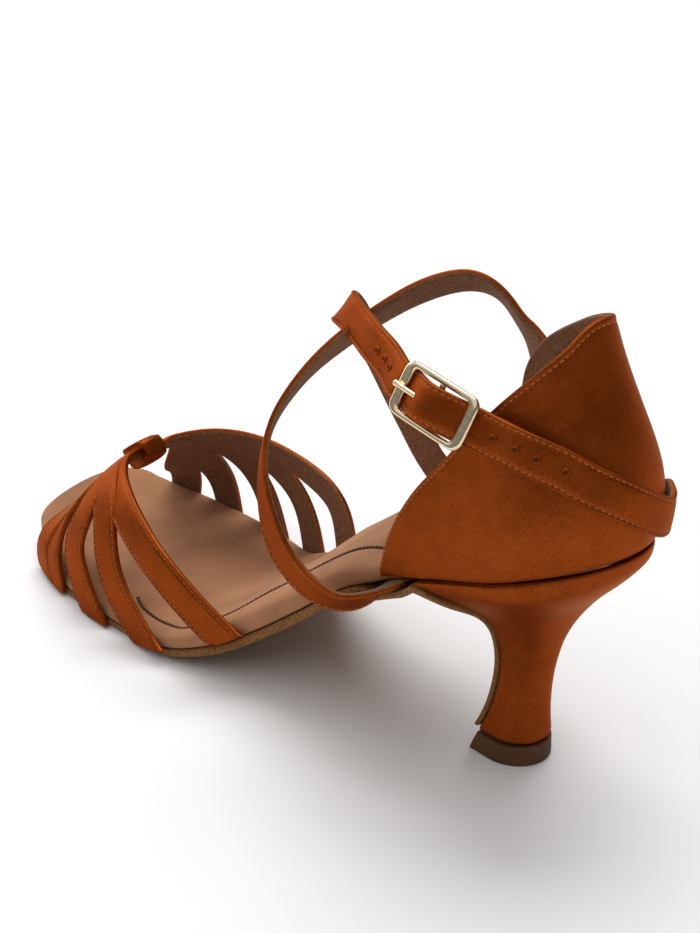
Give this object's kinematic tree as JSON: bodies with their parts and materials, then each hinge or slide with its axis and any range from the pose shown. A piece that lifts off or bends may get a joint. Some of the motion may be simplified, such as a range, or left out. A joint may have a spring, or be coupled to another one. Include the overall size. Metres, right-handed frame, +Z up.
{
  "type": "ballroom dance shoe",
  "caption": "Strappy ballroom dance sandal with enclosed heel counter, flared covered heel, knotted toe straps, suede sole and a crossed ankle strap fastened by a buckle.",
  "frame": {"origin": "middle of the bounding box on the floor plane", "axes": "+X to the toe, +Y to the shoe's left (its outer side), +Z up"},
  "size_m": [0.2276, 0.074, 0.125],
  "materials": {
    "outsole": "raw suede, brushed",
    "insole": "suede-like, soft matte",
    "heel": "satin weave, soft sheen",
    "top_piece": "matte",
    "heel_counter": "satin weave, soft sheen",
    "vamp_straps": "satin weave, soft sheen",
    "knot": "satin weave, soft sheen",
    "ankle_strap": "satin weave, soft sheen",
    "buckle_frame": "polished pale gold",
    "buckle_prong": "polished pale gold",
    "buckle_tab": "satin weave, soft sheen"
  },
  "bodies": {
    "root": {"outsole": "outsole", "insole": "insole", "heel": "heel", "top_piece": "top_piece", "heel_counter": "heel_counter", "vamp_straps": "vamp_straps", "knot": "knot", "ankle_strap": "ankle_strap", "buckle_frame": "buckle_frame", "buckle_prong": "buckle_prong", "buckle_tab": "buckle_tab"}
  },
  "joints": []
}
